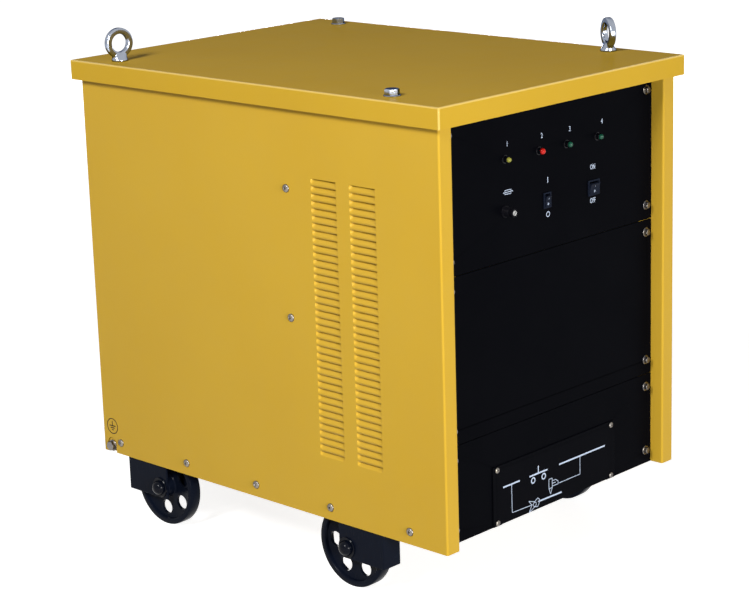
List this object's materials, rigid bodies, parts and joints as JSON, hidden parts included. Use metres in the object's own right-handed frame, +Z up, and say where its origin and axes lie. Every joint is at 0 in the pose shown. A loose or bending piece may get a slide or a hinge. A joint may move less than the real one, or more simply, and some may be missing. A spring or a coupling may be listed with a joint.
{
  "type": "plasma cutter",
  "caption": "Wheeled air plasma cutter: folded sheet cabinet with black front panels, rocker switches, louvred sides, lifting eyes and disc wheels in box forks.",
  "frame": {"origin": "on the floor under the middle of the lid", "axes": "+Z up, the front panels look along -Y, +X to the right as seen from the front"},
  "size_m": [0.5, 0.695, 0.7159],
  "materials": {
    "yellow_paint": "smooth gloss enamel",
    "black_panel": "fine matt powder coat",
    "black_cover": "fine powder coat with a printed wiring sketch",
    "black_guard": "satin black",
    "fork_paint": "semi-gloss black enamel",
    "wheel_paint": "semi-gloss black enamel on a casting, dusty tread",
    "zinc": "bright zinc plate",
    "chrome": "polished forged steel",
    "yellow_lens": "clear tinted",
    "red_lens": "clear tinted",
    "green_lens": "clear tinted",
    "black_plastic": "moulded",
    "rocker_plastic": "satin moulding with white marks",
    "grey_plastic": "moulded",
    "fan_plastic": "moulded",
    "motor_black": "satin",
    "brass": "machined",
    "core_steel": "varnished laminations",
    "copper_winding": "varnished wound wire",
    "sink_aluminium": "extruded",
    "board_green": "solder resist",
    "board_brown": "laminated board"
  },
  "bodies": {
    "body": {"base_tray": "yellow_paint", "upright_frame": "yellow_paint", "lid": "yellow_paint", "left_side_panel": "yellow_paint", "right_side_panel": "yellow_paint", "control_panel": "black_panel", "middle_panel": "black_panel", "lower_panel": "black_panel", "terminal_cover": "black_cover", "rear_panel": "black_panel", "fan_guard": "black_guard", "front_left_fork": "fork_paint", "front_right_fork": "fork_paint", "rear_left_fork": "fork_paint", "rear_right_fork": "fork_paint", "axle_bolts": "fork_paint", "axle_nuts": "zinc", "front_lifting_eye": "chrome", "rear_lifting_eye": "chrome", "lid_bolts": "zinc", "side_panel_screws": "zinc", "front_panel_screws": "zinc", "rear_panel_screws": "zinc", "terminal_cover_screws": "zinc", "earth_terminal": "zinc", "air_lamp_bezel": "black_plastic", "phase_lamp_bezel": "black_plastic", "cutting_lamp_bezel": "black_plastic", "power_lamp_bezel": "black_plastic", "air_lamp_lens": "yellow_lens", "phase_lamp_lens": "red_lens", "cutting_lamp_lens": "green_lens", "power_lamp_lens": "green_lens", "mode_switch_housing": "rocker_plastic", "main_switch_housing": "rocker_plastic", "fuse_holder": "black_plastic", "cable_gland": "black_plastic", "air_valve": "brass", "equipment_shelf": "yellow_paint", "transformer_core": "core_steel", "left_winding": "copper_winding", "middle_winding": "copper_winding", "right_winding": "copper_winding", "output_reactor": "core_steel", "rectifier_heat_sink": "sink_aluminium", "rectifier_modules": "black_plastic", "contactor": "grey_plastic", "control_board": "board_green", "terminal_board": "board_brown", "output_studs": "brass", "fan_motor": "motor_black"},
    "front_left_wheel": {"front_left_wheel": "wheel_paint"},
    "front_right_wheel": {"front_right_wheel": "wheel_paint"},
    "rear_left_wheel": {"rear_left_wheel": "wheel_paint"},
    "rear_right_wheel": {"rear_right_wheel": "wheel_paint"},
    "mode_rocker": {"mode_rocker": "rocker_plastic"},
    "main_rocker": {"main_rocker": "rocker_plastic"},
    "fuse_cap": {"fuse_cap": "black_plastic"},
    "fan_wheel": {"fan_wheel": "fan_plastic"}
  },
  "joints": [
    {"name": "front_left_wheel_spin", "type": "hinge", "parent": "body", "child": "front_left_wheel", "pos_m": [-0.22085, -0.155, 0.058], "axis": [1, 0, 0], "continuous": true},
    {"name": "front_right_wheel_spin", "type": "hinge", "parent": "body", "child": "front_right_wheel", "pos_m": [0.22085, -0.155, 0.058], "axis": [1, 0, 0], "continuous": true},
    {"name": "rear_left_wheel_spin", "type": "hinge", "parent": "body", "child": "rear_left_wheel", "pos_m": [-0.22085, 0.2205, 0.058], "axis": [1, 0, 0], "continuous": true},
    {"name": "rear_right_wheel_spin", "type": "hinge", "parent": "body", "child": "rear_right_wheel", "pos_m": [0.22085, 0.2205, 0.058], "axis": [1, 0, 0], "continuous": true},
    {"name": "mode_rocker_tilt", "type": "hinge", "parent": "body", "child": "mode_rocker", "pos_m": [-0.011, -0.3141, 0.5105], "axis": [-1, 0, 0], "range_deg": [0, 20]},
    {"name": "main_rocker_tilt", "type": "hinge", "parent": "body", "child": "main_rocker", "pos_m": [0.0865, -0.3141, 0.5105], "axis": [-1, 0, 0], "range_deg": [0, 20]},
    {"name": "fuse_cap_turn", "type": "hinge", "parent": "body", "child": "fuse_cap", "pos_m": [-0.095, -0.3175, 0.5105], "axis": [0, -1, 0], "range_deg": [0, 90]},
    {"name": "fan_spin", "type": "hinge", "parent": "body", "child": "fan_wheel", "pos_m": [0, 0.26, 0.512], "axis": [0, 1, 0], "continuous": true}
  ]
}
